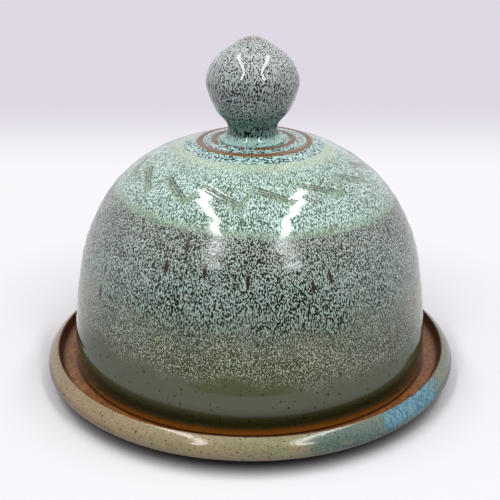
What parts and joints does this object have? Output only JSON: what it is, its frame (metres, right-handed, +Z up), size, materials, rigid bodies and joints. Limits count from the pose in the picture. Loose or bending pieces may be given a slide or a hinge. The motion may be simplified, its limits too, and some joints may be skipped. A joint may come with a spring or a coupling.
{
  "type": "covered butter dish",
  "caption": "Thrown stoneware butter dish: a saucer with a rolled rim under a tall lift-off domed lid with an onion-shaped knob.",
  "frame": {"origin": "on the table, under the centre of the saucer", "axes": "+Z up along the turned axis, through the tip of the knob; the dish is round, so X and Y are free, and the view of the front is along +Y"},
  "size_m": [0.17, 0.17, 0.1396],
  "materials": {
    "saucer_glaze": "speckled tan gloss glaze, amber in the well, bare clay on the foot ring",
    "dome_glaze": "mottled turquoise gloss glaze over olive brown, with iron spots",
    "knob_glaze": "speckled grey-turquoise gloss glaze over brown"
  },
  "bodies": {
    "dish": {"saucer": "saucer_glaze"},
    "lid": {"dome": "dome_glaze", "knob": "knob_glaze"}
  },
  "joints": [
    {"name": "lid_lift", "type": "slide", "parent": "dish", "child": "lid", "axis": [0, 0, 1], "range_m": [0, 0.15]}
  ]
}
